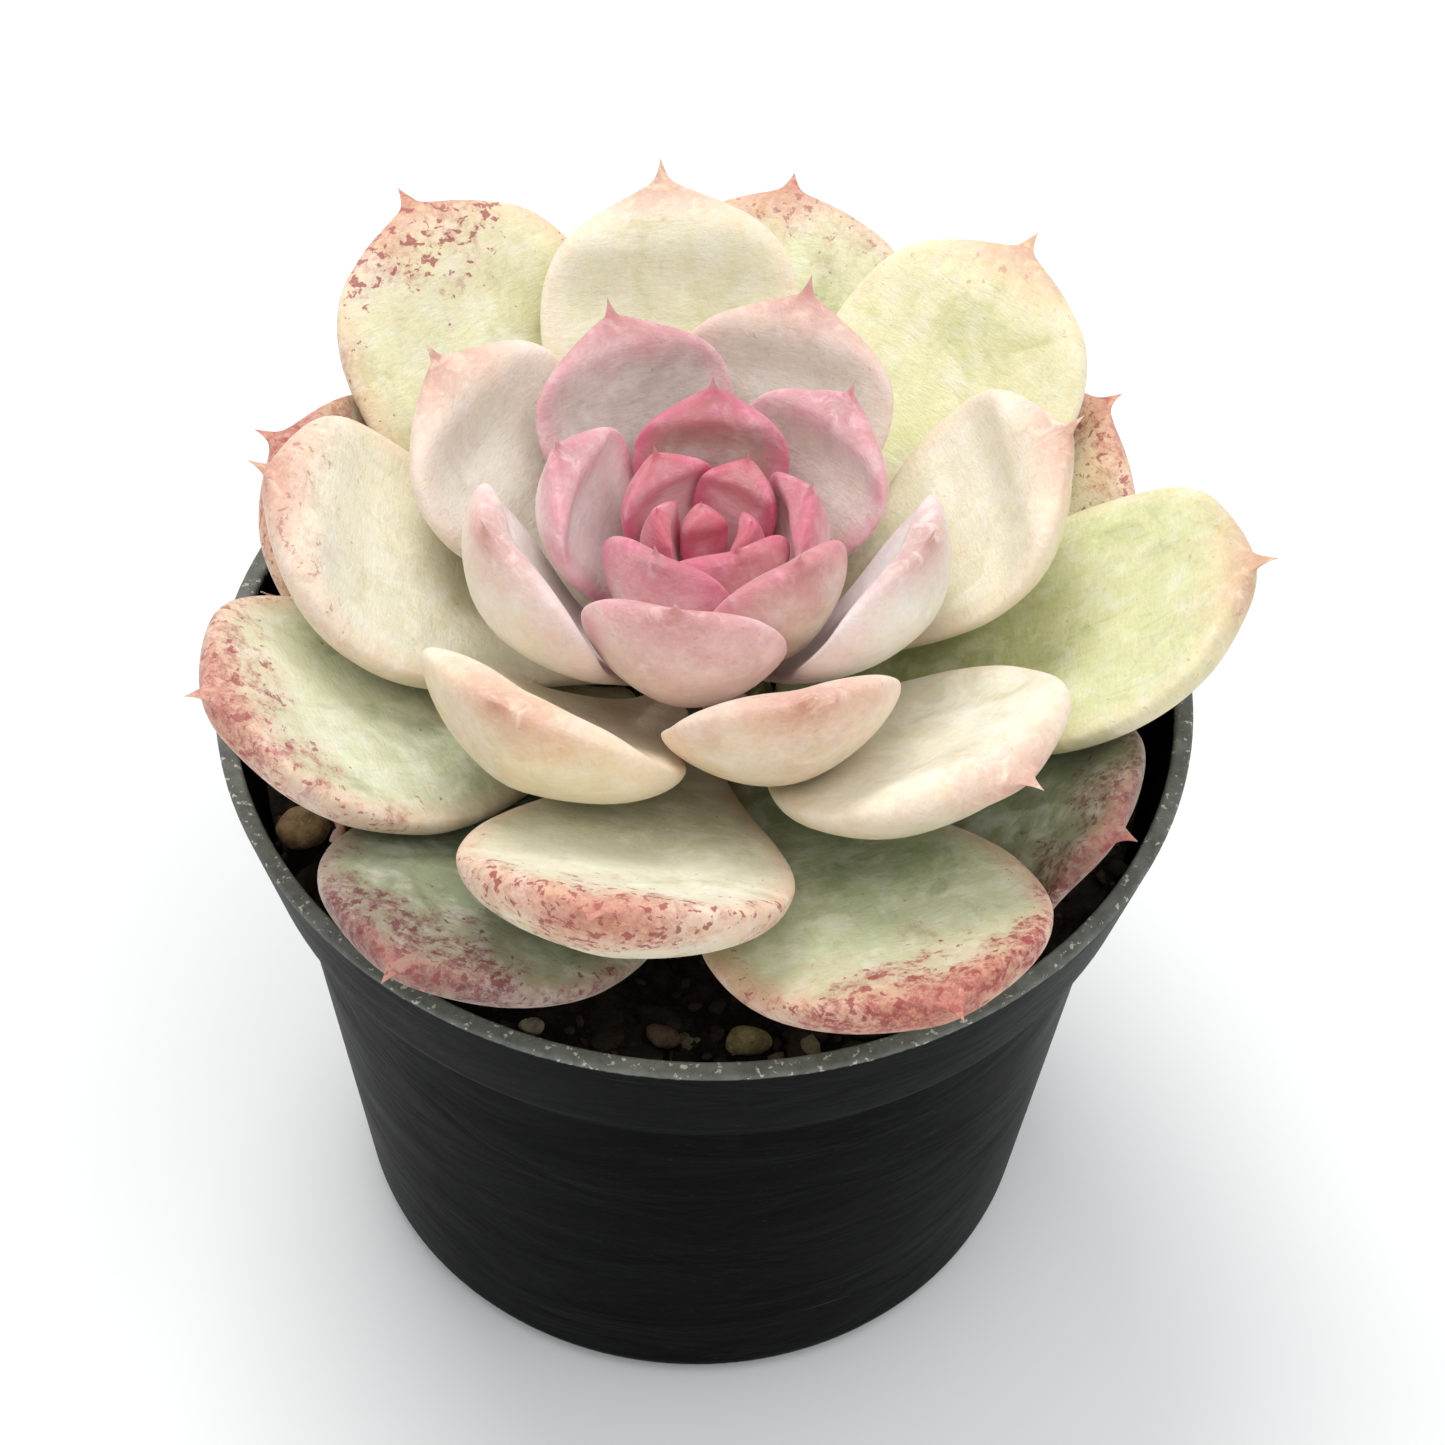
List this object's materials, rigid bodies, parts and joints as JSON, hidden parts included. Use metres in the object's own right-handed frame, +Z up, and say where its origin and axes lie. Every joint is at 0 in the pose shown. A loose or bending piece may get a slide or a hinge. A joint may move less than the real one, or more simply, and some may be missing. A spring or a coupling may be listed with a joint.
{
  "type": "potted succulent",
  "caption": "Rosette succulent with thick pointed leaves in a round tapered black plastic nursery pot.",
  "frame": {"origin": "centre of the pot's base, on the surface that it stands on", "axes": "+Z up along the pot's axis; the pot is round, and the side usually shown faces -Y"},
  "size_m": [0.094, 0.1005, 0.0976],
  "materials": {
    "pot_plastic": "satin",
    "potting_mix": "matte",
    "stem_bark": "matte",
    "leaf_inner": "matte",
    "leaf_middle": "matte",
    "leaf_outer": "matte",
    "stone": "matte"
  },
  "bodies": {
    "root": {"pot": "pot_plastic", "soil": "potting_mix", "stem": "stem_bark", "leaf_01": "leaf_inner", "leaf_02": "leaf_inner", "leaf_03": "leaf_inner", "leaf_04": "leaf_inner", "leaf_05": "leaf_inner", "leaf_06": "leaf_inner", "leaf_07": "leaf_inner", "leaf_08": "leaf_middle", "leaf_09": "leaf_middle", "leaf_10": "leaf_middle", "leaf_11": "leaf_middle", "leaf_12": "leaf_middle", "leaf_13": "leaf_middle", "leaf_14": "leaf_middle", "leaf_15": "leaf_middle", "leaf_16": "leaf_middle", "leaf_17": "leaf_middle", "leaf_18": "leaf_middle", "leaf_19": "leaf_middle", "leaf_20": "leaf_middle", "leaf_21": "leaf_outer", "leaf_22": "leaf_outer", "leaf_23": "leaf_outer", "leaf_24": "leaf_outer", "leaf_25": "leaf_outer", "leaf_26": "leaf_outer", "leaf_27": "leaf_outer", "leaf_28": "leaf_outer", "leaf_29": "leaf_outer", "leaf_30": "leaf_outer", "leaf_31": "leaf_outer", "leaf_32": "leaf_outer", "leaf_33": "leaf_outer", "leaf_34": "leaf_outer", "leaf_35": "leaf_outer", "leaf_36": "leaf_outer", "leaf_37": "leaf_outer", "leaf_38": "leaf_outer", "leaf_39": "leaf_outer", "pebble_1": "stone", "pebble_2": "stone", "pebble_3": "stone", "pebble_4": "stone", "pebble_5": "stone", "pebble_6": "stone"}
  },
  "joints": []
}
